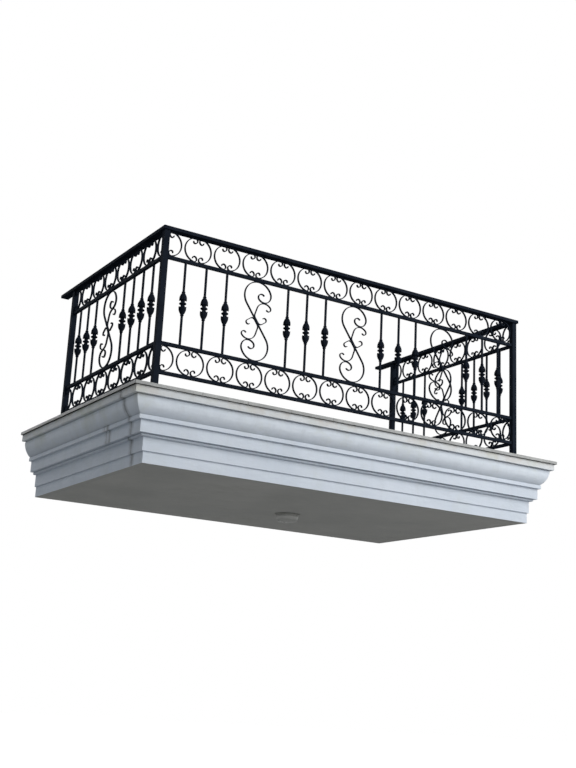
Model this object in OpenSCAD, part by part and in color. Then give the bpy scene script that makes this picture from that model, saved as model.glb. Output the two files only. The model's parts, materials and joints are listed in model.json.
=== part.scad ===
// Balcony with a moulded cornice and a scrolled wrought iron railing.
// The origin is the middle of the slab's wall face. +X runs along the wall, -Y away from it, +Z up.
// Heights of the railing and the mouldings are counted from the finished floor.

/* [Floor] */
// Width of the floor from lip to lip
floor_w = 3160; // [2400:10:3800]
// Reach of the floor lip from the wall
floor_d = 1825; // [1400:10:2200]
// Thickness of the floor tiles
tile_t = 20; // [12:1:30]
// Width of the edge tiles that form the lip
edge_tile_w = 120; // [90:5:140]
// Radius of the lip's upper edge
edge_round = 5; // [1:1:8]
// Thickness of the concrete slab
slab_t = 385; // [340:5:420]
// Thickness of the plaster coat under the slab
plaster_t = 20; // [10:1:30]

/* [Cornice] */
// Set-back of the crown fillet from the lip
crown_in = 14; // [8:1:24]
// Height of the crown fillet
crown_h = 42; // [30:1:55]
// Height of the groove under the crown fillet
quirk_h = 4; // [2:1:8]
// Depth of that groove behind the top of the quarter round
quirk_d = 6; // [3:1:10]
// Set-back of the top of the quarter round
ovolo_in = 36; // [28:1:44]
// Depth that the quarter round curves in
ovolo_sweep = 49; // [30:1:52]
// Height of the quarter round
ovolo_h = 105; // [80:1:120]
// Set-back of the small fillet under the quarter round
fillet_in = 77; // [70:1:80]
// Height of the small fillet
fillet_h = 23; // [15:1:30]
// Set-back of the upper fascia
fascia_1_in = 94; // [88:1:100]
// Height of the upper fascia
fascia_1_h = 72; // [55:1:85]
// Set-back of the bead between the two courses
bead_in = 114; // [106:1:120]
// Height of the bead
bead_h = 15; // [10:1:18]
// Set-back of the middle fascia
fascia_2_in = 135; // [128:1:138]
// Height of the middle fascia
fascia_2_h = 80; // [60:1:90]
// Set-back of the bottom fascia
fascia_3_in = 145; // [141:1:150]
// Thickness of the cornice behind the bottom fascia
cornice_t = 45; // [30:1:60]
// Length of the upper course's legs round the front corners
upper_wrap = 217; // [200:1:300]
// Length of the lower course's legs round the front corners
lower_wrap = 290; // [250:1:360]
// Width of the open joints between lengths of cornice
joint_w = 2; // [1:0.5:4]

/* [Ceiling lamp] */
// Diameter of the lamp's base plate
lamp_base_d = 170; // [140:5:220]
// Thickness of the lamp's base plate
lamp_base_t = 12; // [8:1:20]
// Diameter of the glass bowl
lamp_bowl_d = 152; // [120:2:160]
// Depth of the glass bowl
lamp_bowl_h = 44; // [30:1:60]
// Thickness of the glass
lamp_glass_t = 4; // [3:0.5:6]
// Distance of the lamp from the wall
lamp_y = 720; // [600:10:1000]
// Distance of the lamp from the middle of the balcony, to the right
lamp_x = 120; // [-200:10:200]

/* [Posts and handrail] */
// Height of the railing above the finished floor
railing_h = 1020; // [970:5:1150]
// Width of the square posts
post_w = 35; // [30:1:50]
// Distance of the front posts from the lip
post_inset = 210; // [190:5:240]
// Distance of the wall-side posts from the wall
wall_post_y = 215; // [120:5:300]
// Width of the handrail
handrail_w = 55; // [45:1:70]
// Thickness of the handrail
handrail_t = 22; // [18:1:30]
// Radius of the handrail's upper edges
handrail_round = 4; // [1:1:8]
// Diameter of the flared foot at the floor
foot_d = 104; // [90:2:120]
// Height of the flared foot
foot_h = 38; // [28:1:50]
// Thickness of the foot's rim
foot_rim = 5; // [3:1:8]
// Width left round the post's corners at the top of the foot
foot_neck = 3; // [2:1:6]

/* [Rails and friezes] */
// Width and height of the square rails
rail_t = 20; // [16:1:24]
// Height of the bottom rail above the finished floor
bottom_gap = 118; // [90:1:140]
// Height of each frieze of scrolls
frieze_h = 155; // [135:1:170]
// Wished distance from one oval of the friezes to the next; each side holds a whole number of halves
oval_pitch = 201.5; // [190:0.5:230]
// Gap between one oval and the next
oval_gap = 18; // [10:1:24]
// Radius of the curl at the end of a frieze scroll
curl_r = 17; // [14:1:19]
// Radius of the tip inside that curl
curl_tip_r = 10; // [8:1:12]

/* [Balusters] */
// Width of the square baluster bars
bar_w = 12; // [10:1:16]
// Height of the double knuckle
knuckle_h = 150; // [120:2:170]
// Largest diameter of the knuckle
knuckle_d = 44; // [36:1:50]
// Height of the knuckle's widest levels above and below its middle
knuckle_wide_z = 27; // [22:1:34]
// Diameter of the bead between the two cups
waist_d = 29; // [26:1:34]
// Depth of the groove on both sides of that bead
waist_groove = 4; // [2:0.5:5]
// Height of the bead
waist_h = 12; // [8:1:16]
// Diameter of the collars at the ends of the knuckle
collar_d = 21; // [20:1:26]
// Height of these collars
collar_h = 7; // [5:1:10]
// Depth by which each cup ends inside its collar
collar_ease = 1; // [0.5:0.5:2]
// Width kept free for each scroll panel, from baluster to baluster
scroll_gap = 440; // [400:5:460]

/* [Scrolls] */
// Thickness of the flat bar that the scrolls are bent from
flat_t = 6; // [5:0.5:8]
// Depth of the flat bar, across the railing
flat_d = 12; // [10:1:16]
// Thickness of the lighter bar of the small scrolls
small_t = 5.5; // [4.5:0.5:7]
// Depth of the lighter bar
small_d = 11; // [8:1:14]
// Radius of the large loops of the S scroll
loop_r = 95; // [90:1:98]
// Distance of the upper loop's centre from the middle line
loop_x = 4; // [0:1:8]
// Direction from the loop's centre at which the S scroll starts to turn in
turn_at = 22; // [15:1:30]
// Radius of the S scroll where it turns in
turn_r = 48; // [42:1:52]
// Radius of the S scroll's eye
tip_r = 22; // [18:1:26]
// Length of the small scroll that lies on the S scroll, above its middle
stem_seat = 21; // [16:1:26]
// Radius of the bend where the small scroll leaves the S scroll
stem_bend_r = 26; // [20:1:32]
// Slope of the small scroll's stem
stem_lean = 72; // [68:1:76]
// Radius of the small scroll's head, which lies against the eye of the S scroll
head_r = 54; // [48:1:58]
// Radius of the eye at the end of that head
head_tip_r = 16; // [13:1:19]
// Length of the small scroll that lies on the S scroll, below its middle
hook_seat = 12; // [8:1:16]
// Radius of the bend at the start of the hook
hook_bend_r = 22; // [18:1:28]
// Slope of the small scroll's hook
hook_lean = 35; // [25:1:45]
// Length of the hook's straight part
hook_l = 28; // [22:1:34]
// Radius of the hook's eye
hook_tip_r = 14; // [11:1:17]
// Height that is filed off the scrolls where they seat on the rails
seat_cut = 0.8; // [0.4:0.1:1.2]
// Depth that bars run into each other where they are welded
weld = 1; // [0.5:0.1:1.5]
// How much slimmer each bend of a scroll is than the one before it
thinning = 0.1; // [0.05:0.05:0.4]

/* [Hidden] */

$fn = 64;

// Heights, from the slab's wall face
floor_z = slab_t / 2 + tile_t;
soffit_z = -slab_t / 2 - plaster_t;
bottom_rail_z = floor_z + bottom_gap;
lower_frieze_z = bottom_rail_z + rail_t;
middle_rail_z = lower_frieze_z + frieze_h;
baluster_z = middle_rail_z + rail_t;
handrail_z = floor_z + railing_h - handrail_t;
upper_frieze_z = handrail_z - frieze_h;
upper_rail_z = upper_frieze_z - rail_t;
baluster_h = upper_rail_z - baluster_z;

// Places in plan
half_w = floor_w / 2;
core_in = fascia_3_in + cornice_t;
post_x = half_w - post_inset;
post_y = -floor_d + post_inset;
front_span = 2 * post_x - post_w;
side_span = -post_y - wall_post_y - post_w;

// Levels of the mouldings, down from the finished floor
crown_z = -tile_t - crown_h;
quirk_z = crown_z - quirk_h;
ovolo_z = crown_z - ovolo_h;
fillet_z = ovolo_z - fillet_h;
course_z = fillet_z - fascia_1_h;
bead_z = course_z - bead_h;
fascia_2_z = bead_z - fascia_2_h;
cornice_bottom_z = soffit_z - floor_z;

// Groups of balusters between the scroll panels, counted from the left post or from the corner post
front_groups = [3, 3, 3, 3];
side_groups = [4, 3];

// Length that each bend of a scroll runs back into the one before it
lap_l = 1;

// How far a cutting shape reaches past what it cuts
past = 1;

// Turns of the scrolls' bends, in degrees
back_turn = 78;
curl_turn = 190;
curl_tip_turn = 110;
loop_end_turn = 160;
tip_turn = 190;
head_turn = 122;
head_tip_turn = 195;
hook_tip_turn = 190;

// Radius of a frieze scroll's back, such that its curls seat on the rails
back_r = curl_r + (frieze_h / 2 + seat_cut - flat_t / 2 - curl_r) / sin(back_turn);

// Lean of the S scroll's straight part, which runs from its middle to the side of the large loop
loop_z = baluster_h / 2 + seat_cut - flat_t / 2 - loop_r;
loop_far = norm([loop_x, loop_z]);
lean = atan2(loop_z, loop_x) + asin(loop_r / loop_far);
straight_l = sqrt(loop_far * loop_far - loop_r * loop_r);

// A plan area beside one edge of the floor, mitred at the front corners
module plan_front(reach, low, high) {
  translate([0, 0, low])
    linear_extrude(high - low)
      polygon([
        [-half_w, -floor_d], [half_w, -floor_d],
        [half_w - reach, -floor_d + reach], [-half_w + reach, -floor_d + reach]
      ]);
}

module plan_left(reach, low, high) {
  translate([0, 0, low])
    linear_extrude(high - low)
      polygon([
        [-half_w, -floor_d], [-half_w + reach, -floor_d + reach],
        [-half_w + reach, 0], [-half_w, 0]
      ]);
}

// Runs of a moulding whose outline is given as set-back from the lip and height
module run_front(reach, low, high) {
  intersection() {
    translate([-half_w, -floor_d, 0])
      rotate([90, 0, 90])
        linear_extrude(floor_w)
          children();
    plan_front(reach, low - past, high + past);
  }
}

module run_left(reach, low, high) {
  intersection() {
    translate([-half_w, 0, 0])
      rotate([90, 0, 0])
        linear_extrude(floor_d)
          children();
    plan_left(reach, low - past, high + past);
  }
}

module run_right(reach, low, high) {
  mirror([1, 0, 0])
    run_left(reach, low, high)
      children();
}

// Concrete slab, with its end face against the wall
module slab() {
  color("gray")
    translate([-half_w + core_in, -floor_d + core_in, -slab_t / 2])
      cube([floor_w - 2 * core_in, floor_d - core_in, slab_t]);
}

module soffit_plaster() {
  color("darkgray")
    translate([-half_w + core_in, -floor_d + core_in, soffit_z])
      cube([floor_w - 2 * core_in, floor_d - core_in, plaster_t]);
}

module floor_tiles() {
  color("slategray")
    translate([-half_w + edge_tile_w, -floor_d + edge_tile_w, floor_z - tile_t])
      cube([floor_w - 2 * edge_tile_w, floor_d - edge_tile_w, tile_t]);
}

// Outline of an edge tile, with its rounded lip
module edge_outline() {
  translate([0, floor_z - tile_t]) {
    translate([edge_round, 0])
      square([edge_tile_w - edge_round, tile_t]);
    square([edge_tile_w, tile_t - edge_round]);
    translate([edge_round, tile_t - edge_round])
      circle(edge_round);
  }
}

module floor_edge_front() {
  color("lightsteelblue")
    run_front(edge_tile_w, floor_z - tile_t, floor_z)
      edge_outline();
}

module floor_edge_left() {
  color("lightsteelblue")
    run_left(edge_tile_w, floor_z - tile_t, floor_z)
      edge_outline();
}

module floor_edge_right() {
  color("lightsteelblue")
    run_right(edge_tile_w, floor_z - tile_t, floor_z)
      edge_outline();
}

// A band of the cornice from its set-back to the slab
module band(set_back, low, high) {
  translate([set_back, low])
    square([core_in - set_back, high - low]);
}

// Quarter round that leaves its top upright and curves in below
module ovolo() {
  drop = quirk_z - ovolo_z;
  radius = (drop * drop + ovolo_sweep * ovolo_sweep) / (2 * ovolo_sweep);
  intersection() {
    translate([ovolo_in + radius, quirk_z])
      circle(radius);
    band(ovolo_in, ovolo_z, quirk_z);
  }
}

module upper_outline() {
  translate([0, floor_z]) {
    band(crown_in, crown_z, -tile_t);
    band(ovolo_in + quirk_d, quirk_z, crown_z);
    ovolo();
    band(fillet_in, fillet_z, ovolo_z);
    band(fascia_1_in, course_z, fillet_z);
  }
}

module lower_outline() {
  translate([0, floor_z]) {
    translate([bead_in + bead_h / 2, bead_z + bead_h / 2])
      circle(d = bead_h);
    band(bead_in + bead_h / 2, bead_z, course_z);
    band(fascia_2_in, fascia_2_z, bead_z);
    band(fascia_3_in, cornice_bottom_z, fascia_2_z);
  }
}

// One course of the cornice round the three sides
module course(low, high) {
  run_front(core_in, low, high)
    children();
  run_left(core_in, low, high)
    children();
  run_right(core_in, low, high)
    children();
}

// The part of a course in front of its corner joints
module course_front(wrap, low, high) {
  intersection() {
    course(low, high)
      children();
    translate([-half_w - past, -floor_d - past, low - past])
      cube([floor_w + 2 * past, core_in + wrap + past, high - low + 2 * past]);
  }
}

// The part of a course between a corner joint and the wall
module course_left(wrap, low, high) {
  leg = core_in + wrap + joint_w;
  intersection() {
    run_left(core_in, low, high)
      children();
    translate([-half_w - past, -floor_d + leg, low - past])
      cube([core_in + 2 * past, floor_d - leg, high - low + 2 * past]);
  }
}

module cornice_upper_front() {
  color("ivory")
    course_front(upper_wrap - core_in, floor_z + course_z, floor_z - tile_t)
      upper_outline();
}

module cornice_upper_left() {
  color("ivory")
    course_left(upper_wrap - core_in, floor_z + course_z, floor_z - tile_t)
      upper_outline();
}

module cornice_upper_right() {
  mirror([1, 0, 0])
    cornice_upper_left();
}

module cornice_lower_front() {
  color("whitesmoke")
    course_front(lower_wrap - core_in, soffit_z, floor_z + course_z)
      lower_outline();
}

module cornice_lower_left() {
  color("whitesmoke")
    course_left(lower_wrap - core_in, soffit_z, floor_z + course_z)
      lower_outline();
}

module cornice_lower_right() {
  mirror([1, 0, 0])
    cornice_lower_left();
}

module ceiling_lamp_base() {
  color("white")
    translate([lamp_x, -lamp_y, soffit_z - lamp_base_t])
      cylinder(d = lamp_base_d, h = lamp_base_t);
}

// A round cap of the given width and depth that hangs from z = 0
module hanging_cap(width, depth) {
  radius = (width * width / 4 + depth * depth) / (2 * depth);
  rotate_extrude()
    intersection() {
      translate([0, radius - depth])
        circle(radius);
      translate([0, -depth])
        square([width / 2, depth]);
    }
}

module ceiling_lamp_bowl() {
  color("white")
    translate([lamp_x, -lamp_y, soffit_z - lamp_base_t])
      difference() {
        hanging_cap(lamp_bowl_d, lamp_bowl_h);
        hanging_cap(lamp_bowl_d - 2 * lamp_glass_t, lamp_bowl_h - lamp_glass_t);
      }
}

// Section of the handrail, with eased upper edges
module handrail_section() {
  flat = handrail_w - 2 * handrail_round;
  square([handrail_w, handrail_t - handrail_round]);
  translate([handrail_round, 0])
    square([flat, handrail_t]);
  for (side = [handrail_round, handrail_w - handrail_round])
    translate([side, handrail_t - handrail_round])
      circle(handrail_round);
}

// Plan of a handrail run, mitred at the front corners
module handrail_front() {
  outer_x = post_x + handrail_w / 2;
  outer_y = post_y - handrail_w / 2;
  color("black")
    intersection() {
      translate([-outer_x, outer_y, handrail_z])
        rotate([90, 0, 90])
          linear_extrude(2 * outer_x)
            handrail_section();
      translate([0, 0, handrail_z - past])
        linear_extrude(handrail_t + 2 * past)
          polygon([
            [-outer_x, outer_y], [outer_x, outer_y],
            [outer_x - handrail_w, outer_y + handrail_w],
            [-outer_x + handrail_w, outer_y + handrail_w]
          ]);
    }
}

module handrail_left() {
  outer_x = -post_x - handrail_w / 2;
  outer_y = post_y - handrail_w / 2;
  color("black")
    intersection() {
      translate([outer_x, 0, handrail_z])
        rotate([90, 0, 0])
          linear_extrude(-outer_y)
            handrail_section();
      translate([0, 0, handrail_z - past])
        linear_extrude(handrail_t + 2 * past)
          polygon([
            [outer_x, outer_y], [outer_x + handrail_w, outer_y + handrail_w],
            [outer_x + handrail_w, 0], [outer_x, 0]
          ]);
    }
}

module handrail_right() {
  mirror([1, 0, 0])
    handrail_left();
}

module post() {
  color("black")
    translate([-post_w / 2, -post_w / 2, floor_z])
      cube([post_w, post_w, railing_h - handrail_t]);
}

module post_front_left() {
  translate([-post_x, post_y, 0])
    post();
}

module post_front_right() {
  translate([post_x, post_y, 0])
    post();
}

module post_wall_left() {
  translate([-post_x, -wall_post_y, 0])
    post();
}

module post_wall_right() {
  translate([post_x, -wall_post_y, 0])
    post();
}

// Flared foot: a hollow curve from the rim up to a neck round the post
module foot() {
  neck_r = post_w / sqrt(2) + foot_neck;
  rise = foot_h - foot_rim;
  run = foot_d / 2 - neck_r;
  radius = (rise * rise + run * run) / (2 * run);
  difference() {
    rotate_extrude()
      difference() {
        square([foot_d / 2, foot_h]);
        intersection() {
          translate([neck_r + radius, foot_h])
            circle(radius);
          translate([neck_r, foot_rim])
            square([run + past, rise + past]);
        }
      }
    translate([-post_w / 2, -post_w / 2, -past])
      cube([post_w, post_w, foot_h + 2 * past]);
  }
}

module post_feet() {
  color("black")
    for (x = [-post_x, post_x])
      for (y = [post_y, -wall_post_y])
        translate([x, y, floor_z])
          foot();
}

// Each side of the railing is drawn along +X from the inner face of its first post
module on_front() {
  translate([-post_x + post_w / 2, post_y, 0])
    children();
}

module on_left() {
  translate([-post_x, post_y + post_w / 2, 0])
    rotate([0, 0, 90])
      children();
}

module on_right() {
  translate([post_x, post_y + post_w / 2, 0])
    rotate([0, 0, 90])
      children();
}

module rail(span, level) {
  color("black")
    translate([0, -rail_t / 2, level])
      cube([span, rail_t, rail_t]);
}

// Pose after one step of a bent bar; a step is [0, length] or [radius, turn to the left]
function advance(pose, step) =
  step[0] == 0
    ? [pose[0] + step[1] * cos(pose[2]), pose[1] + step[1] * sin(pose[2]), pose[2]]
    : let (
        side = step[1] > 0 ? 1 : -1,
        cx = pose[0] - side * step[0] * sin(pose[2]),
        cy = pose[1] + side * step[0] * cos(pose[2]),
        heading = pose[2] + step[1]
      )
      [cx + side * step[0] * sin(heading), cy - side * step[0] * cos(heading), heading];

// A flat bar bent through a list of steps, in the plane of the railing.
// Each length starts inside the one before it and is a little slimmer, as a bar drawn out to its tip.
module bent_bar(pose, steps, thick, deep, at = 0) {
  if (at < len(steps)) {
    step = steps[at];
    radius = step[0];
    lap = at == 0 ? 0 : lap_l;
    if (radius == 0) {
      translate([pose[0], pose[1], 0])
        rotate([0, 0, pose[2]])
          translate([-lap, -thick / 2, -deep / 2])
            cube([step[1] + lap, thick, deep]);
    } else {
      side = step[1] > 0 ? 1 : -1;
      lap_angle = lap / radius * 180 / PI;
      first = step[1] > 0 ? pose[2] - 90 - lap_angle : pose[2] + 90 + step[1];
      translate([pose[0] - side * radius * sin(pose[2]), pose[1] + side * radius * cos(pose[2]), 0])
        rotate([0, 0, first])
          rotate_extrude(angle = abs(step[1]) + lap_angle)
            translate([radius - thick / 2, -deep / 2])
              square([thick, deep]);
    }
    bent_bar(advance(pose, step), steps, thick - thinning, deep - thinning, at + 1);
  }
}

// C scroll of the friezes, open to the right, centred on its back
module frieze_scroll() {
  for (half = [0, 1])
    mirror([0, half, 0])
      bent_bar([-back_r, 0, -90], [
        [back_r, back_turn],
        [curl_r, curl_turn],
        [curl_tip_r, curl_tip_turn]
      ], flat_t, flat_d);
}

// Row of ovals, each a pair of C scrolls, that starts with the right half of one
module frieze(span, level) {
  halves = round(2 * span / oval_pitch);
  pitch = 2 * span / halves;
  from_centre = (pitch - oval_gap - flat_t) / 2 - back_r;
  color("black")
    translate([0, 0, level + frieze_h / 2])
      rotate([90, 0, 0])
        intersection() {
          for (i = [0:halves - 1])
            translate([ceil(i / 2) * pitch, 0, 0])
              rotate([0, 0, i % 2 == 0 ? 180 : 0])
                translate([-from_centre, 0, 0])
                  frieze_scroll();
          translate([0, -frieze_h / 2, -flat_d])
            cube([span, frieze_h, 2 * flat_d]);
        }
}

// Number of gaps of one spacing in a side: between balusters, and at both ends
function gaps(groups, i = 0) = i == len(groups) ? 2 : groups[i] - 1 + gaps(groups, i + 1);

function spacing(span, groups) =
  (span + post_w - (len(groups) - 1) * scroll_gap) / gaps(groups);

// Place of the first baluster of a group, from the post's inner face
function group_x(span, groups, g) =
  g == 0
    ? spacing(span, groups) - post_w / 2
    : group_x(span, groups, g - 1) + (groups[g - 1] - 1) * spacing(span, groups) + scroll_gap;

// Half of an upright outline that swells from one radius to another at level 0, as an arc
module swell(wide_r, end_r, reach) {
  rise = wide_r - end_r;
  radius = (reach * reach + rise * rise) / (2 * rise);
  intersection() {
    translate([wide_r - radius, 0])
      circle(radius);
    square([wide_r, reach]);
  }
}

// Double knuckle: two cups, each widest beside the bead between them and drawn in to a collar
module knuckle() {
  groove_r = waist_d / 2 - waist_groove;
  cup_foot_z = knuckle_wide_z - waist_h / 2;
  taper_l = knuckle_h / 2 - collar_h - knuckle_wide_z;
  for (half = [0, 1])
    mirror([0, 0, half])
      rotate_extrude() {
        square([groove_r, knuckle_wide_z]);
        translate([0, knuckle_wide_z])
          swell(knuckle_d / 2, collar_d / 2 - collar_ease, taper_l);
        translate([0, knuckle_wide_z])
          mirror([0, 1])
            swell(knuckle_d / 2, groove_r, cup_foot_z);
        translate([0, knuckle_h / 2 - collar_h])
          square([collar_d / 2, collar_h]);
        intersection() {
          translate([waist_d / 2 - waist_h / 2, 0])
            circle(d = waist_h);
          square([waist_d, waist_h]);
        }
      }
}

module baluster() {
  translate([-bar_w / 2, -bar_w / 2, 0])
    cube([bar_w, bar_w, baluster_h]);
  translate([0, 0, baluster_h / 2])
    knuckle();
}

module balusters(span, groups) {
  color("black")
    for (g = [0:len(groups) - 1])
      for (i = [0:groups[g] - 1])
        translate([group_x(span, groups, g) + i * spacing(span, groups), 0, baluster_z])
          baluster();
}

// Upper half of the S scroll: from its middle straight up to the large loop, and round into the eye
module half_scroll() {
  bent_bar([0, 0, lean], [
    [0, straight_l],
    [loop_r, turn_at - lean - 90],
    [turn_r, -loop_end_turn],
    [tip_r, -tip_turn]
  ], flat_t, flat_d);
}

// The small scroll that is welded beside the straight part, with its head above and its hook below.
// Its stem is as long as it takes to bring the head against the eye of the S scroll.
module small_scroll() {
  apart = (flat_t + small_t) / 2 - weld;
  middle = [apart * sin(lean), -apart * cos(lean)];
  seat_end = advance([middle[0], middle[1], lean], [0, stem_seat]);
  stem_start = advance(seat_end, [stem_bend_r, stem_lean - lean]);
  head_x = stem_start[0] + head_r * sin(stem_lean);
  head_z = stem_start[1] - head_r * cos(stem_lean);
  eye_x = loop_x + (loop_r - turn_r) * cos(turn_at);
  eye_z = loop_z + (loop_r - turn_r) * sin(turn_at);
  from_eye = [head_x - eye_x, head_z - eye_z];
  along = from_eye * [cos(stem_lean), sin(stem_lean)];
  apart_at_head = turn_r + head_r + (flat_t + small_t) / 2 - weld;
  stem_l = -along - sqrt(along * along - from_eye * from_eye + apart_at_head * apart_at_head);
  bent_bar([middle[0], middle[1], lean], [
    [0, stem_seat],
    [stem_bend_r, stem_lean - lean],
    [0, stem_l],
    [head_r, -head_turn],
    [head_tip_r, -head_tip_turn]
  ], small_t, small_d);
  bent_bar([middle[0], middle[1], lean - 180], [
    [0, hook_seat],
    [hook_bend_r, hook_lean + 180 - lean],
    [0, hook_l],
    [hook_tip_r, hook_tip_turn]
  ], small_t, small_d);
}

// S scroll panel, with the upper loop to the left
module s_scroll() {
  rotate([90, 0, 0])
    intersection() {
      union() {
        for (half = [0, 180])
          rotate([0, 0, half]) {
            half_scroll();
            small_scroll();
          }
      }
      translate([-scroll_gap / 2, -baluster_h / 2, -flat_d])
        cube([scroll_gap, baluster_h, 2 * flat_d]);
    }
}

module scrolls(span, groups, flip) {
  color("black")
    for (g = [1:len(groups) - 1])
      translate([group_x(span, groups, g) - scroll_gap / 2, 0, baluster_z + baluster_h / 2])
        mirror([flip, 0, 0])
          s_scroll();
}

module front_upper_rail() {
  on_front()
    rail(front_span, upper_rail_z);
}

module front_middle_rail() {
  on_front()
    rail(front_span, middle_rail_z);
}

module front_bottom_rail() {
  on_front()
    rail(front_span, bottom_rail_z);
}

module left_upper_rail() {
  on_left()
    rail(side_span, upper_rail_z);
}

module left_middle_rail() {
  on_left()
    rail(side_span, middle_rail_z);
}

module left_bottom_rail() {
  on_left()
    rail(side_span, bottom_rail_z);
}

module right_upper_rail() {
  on_right()
    rail(side_span, upper_rail_z);
}

module right_middle_rail() {
  on_right()
    rail(side_span, middle_rail_z);
}

module right_bottom_rail() {
  on_right()
    rail(side_span, bottom_rail_z);
}

module front_upper_frieze() {
  on_front()
    frieze(front_span, upper_frieze_z);
}

module left_upper_frieze() {
  on_left()
    frieze(side_span, upper_frieze_z);
}

module right_upper_frieze() {
  on_right()
    frieze(side_span, upper_frieze_z);
}

module front_lower_frieze() {
  on_front()
    frieze(front_span, lower_frieze_z);
}

module left_lower_frieze() {
  on_left()
    frieze(side_span, lower_frieze_z);
}

module right_lower_frieze() {
  on_right()
    frieze(side_span, lower_frieze_z);
}

module front_balusters() {
  on_front()
    balusters(front_span, front_groups);
}

module left_balusters() {
  on_left()
    balusters(side_span, side_groups);
}

module right_balusters() {
  on_right()
    balusters(side_span, side_groups);
}

module front_scrolls() {
  on_front()
    scrolls(front_span, front_groups, 0);
}

module left_scrolls() {
  on_left()
    scrolls(side_span, side_groups, 1);
}

module right_scrolls() {
  on_right()
    scrolls(side_span, side_groups, 0);
}

slab();
soffit_plaster();
floor_tiles();
floor_edge_front();
floor_edge_left();
floor_edge_right();
cornice_upper_front();
cornice_upper_left();
cornice_upper_right();
cornice_lower_front();
cornice_lower_left();
cornice_lower_right();
ceiling_lamp_base();
ceiling_lamp_bowl();
handrail_front();
handrail_left();
handrail_right();
post_front_left();
post_front_right();
post_wall_left();
post_wall_right();
post_feet();
front_upper_rail();
front_middle_rail();
front_bottom_rail();
left_upper_rail();
left_middle_rail();
left_bottom_rail();
right_upper_rail();
right_middle_rail();
right_bottom_rail();
front_upper_frieze();
left_upper_frieze();
right_upper_frieze();
front_lower_frieze();
left_lower_frieze();
right_lower_frieze();
front_balusters();
left_balusters();
right_balusters();
front_scrolls();
left_scrolls();
right_scrolls();
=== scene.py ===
"""Looks of a cantilevered balcony with a moulded cornice and a scrolled iron railing.

All lengths are in metres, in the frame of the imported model: the mounting face is the plane y = 0, the
balcony reaches out to -y, +x runs to the right along that face and z = 0 is half way up the slab.
"""

import json
import math
import random

import bmesh
import bpy
from mathutils import Euler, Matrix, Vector


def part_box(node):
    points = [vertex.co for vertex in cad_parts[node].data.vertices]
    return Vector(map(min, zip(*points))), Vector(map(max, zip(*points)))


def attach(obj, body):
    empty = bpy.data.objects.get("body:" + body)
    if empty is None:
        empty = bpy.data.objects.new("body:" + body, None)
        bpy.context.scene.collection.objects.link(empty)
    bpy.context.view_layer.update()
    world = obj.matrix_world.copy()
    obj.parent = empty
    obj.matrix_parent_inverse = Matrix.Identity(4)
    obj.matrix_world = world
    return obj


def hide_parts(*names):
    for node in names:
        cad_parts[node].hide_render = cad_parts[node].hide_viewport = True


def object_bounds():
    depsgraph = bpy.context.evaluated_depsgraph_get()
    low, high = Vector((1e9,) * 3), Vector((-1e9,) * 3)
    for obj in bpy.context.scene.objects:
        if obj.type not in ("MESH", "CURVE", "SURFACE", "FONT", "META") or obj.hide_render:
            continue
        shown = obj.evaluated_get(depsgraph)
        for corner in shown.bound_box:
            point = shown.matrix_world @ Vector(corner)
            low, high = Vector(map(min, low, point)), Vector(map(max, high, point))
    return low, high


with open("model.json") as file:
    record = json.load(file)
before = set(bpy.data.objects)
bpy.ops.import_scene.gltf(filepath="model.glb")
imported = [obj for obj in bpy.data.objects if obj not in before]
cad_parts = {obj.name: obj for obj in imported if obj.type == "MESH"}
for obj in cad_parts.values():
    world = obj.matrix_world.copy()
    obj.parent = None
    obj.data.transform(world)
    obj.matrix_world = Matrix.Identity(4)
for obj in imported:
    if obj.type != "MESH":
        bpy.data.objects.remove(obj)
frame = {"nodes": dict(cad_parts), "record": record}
cad_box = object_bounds()
nodes = frame["nodes"]

SIDES = ("front", "left", "right")

# The photograph's frame, and the place and direction that it was taken in
PHOTO_W = 576
PHOTO_H = 768
CAMERA_PLACE = Vector((-4.11, -7.575, -1.433))
PHOTO_BEARING = math.radians(47.7)
PHOTO_RISE = math.radians(5.1)
EYE_HEIGHT = 1.6
FRAME_MARGIN = 1.07
AIM_STEPS = 6
SENSOR_W = 36.0
CLIP_END = 300.0

# Tiled floor. Places of a tile and of the grout in the materials of its pieces come first
TILE = 0
BED = 1
TILE_MODULE = 0.298
TILE_JOINT = 0.003
TILE_EASE = 0.001
GROUT_DROP = 0.0015
NARROWEST_CUT = 0.01
LIP_STEPS = 6
LIP_ROUND = 0.005
# How far a tile's tone moves it through the figure of its material
FIGURE_SHIFT = 7.0

# Paint of the cornice. Heights are counted down from its top
CROWN_H = 0.042
CROWN_EDGE = 0.001
# Crown heights below the top, where its earthy stains start and where they are full
STAIN_START = 1.6
STAIN_FULL = 0.3
# Belly of the quarter round, which has a painted highlight: its middle, and how far either side it is
# fully lit and where that ends
BELLY_DOWN = 0.083
BELLY_HALF = 0.012
BELLY_FADE = 0.058
# Level above which the damp patches grow stronger
DAMP_Z = 0.02
# Dark line in a joint, and the smudge round it: where each is full, and where it ends
LINE_HALF = 0.0026
LINE_FADE = 0.0062
LINE_STRENGTH = 0.85
SMUDGE_HALF = 0.010
SMUDGE_FADE = 0.038
COURSE_FADE = 0.002
# Patched joint in the upper course of the left return: two lines, each with its strength, and how far under
# the cornice's top they end
PATCH_JOINT = -1.31
PATCH_LINES = ((PATCH_JOINT, 0.95), (PATCH_JOINT + 0.05, 0.75))
PATCH_DOWN = 0.14
# Half width of the step between the left return and the right one, at the middle of the front
LEFT_FADE = 0.1
# Height over the bottom, up to which what faces down has the soffit's coat
SOFFIT_LAP = 0.005
# Depth of the raw ends at the mounting face
CUT_DEPTH = 0.003

# Forged balusters. The waist of a weld is a share of its size
BAR_W = 0.012
BAR_EASE = 0.0008
WELD = 0.0028
WELD_RANGE = (0.7, 1.1)
WELD_WAIST = 0.35
WELD_WAIST_Z = 0.5
MERGE_DISTANCE = 1e-5
SORT_DIGITS = 4

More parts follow.
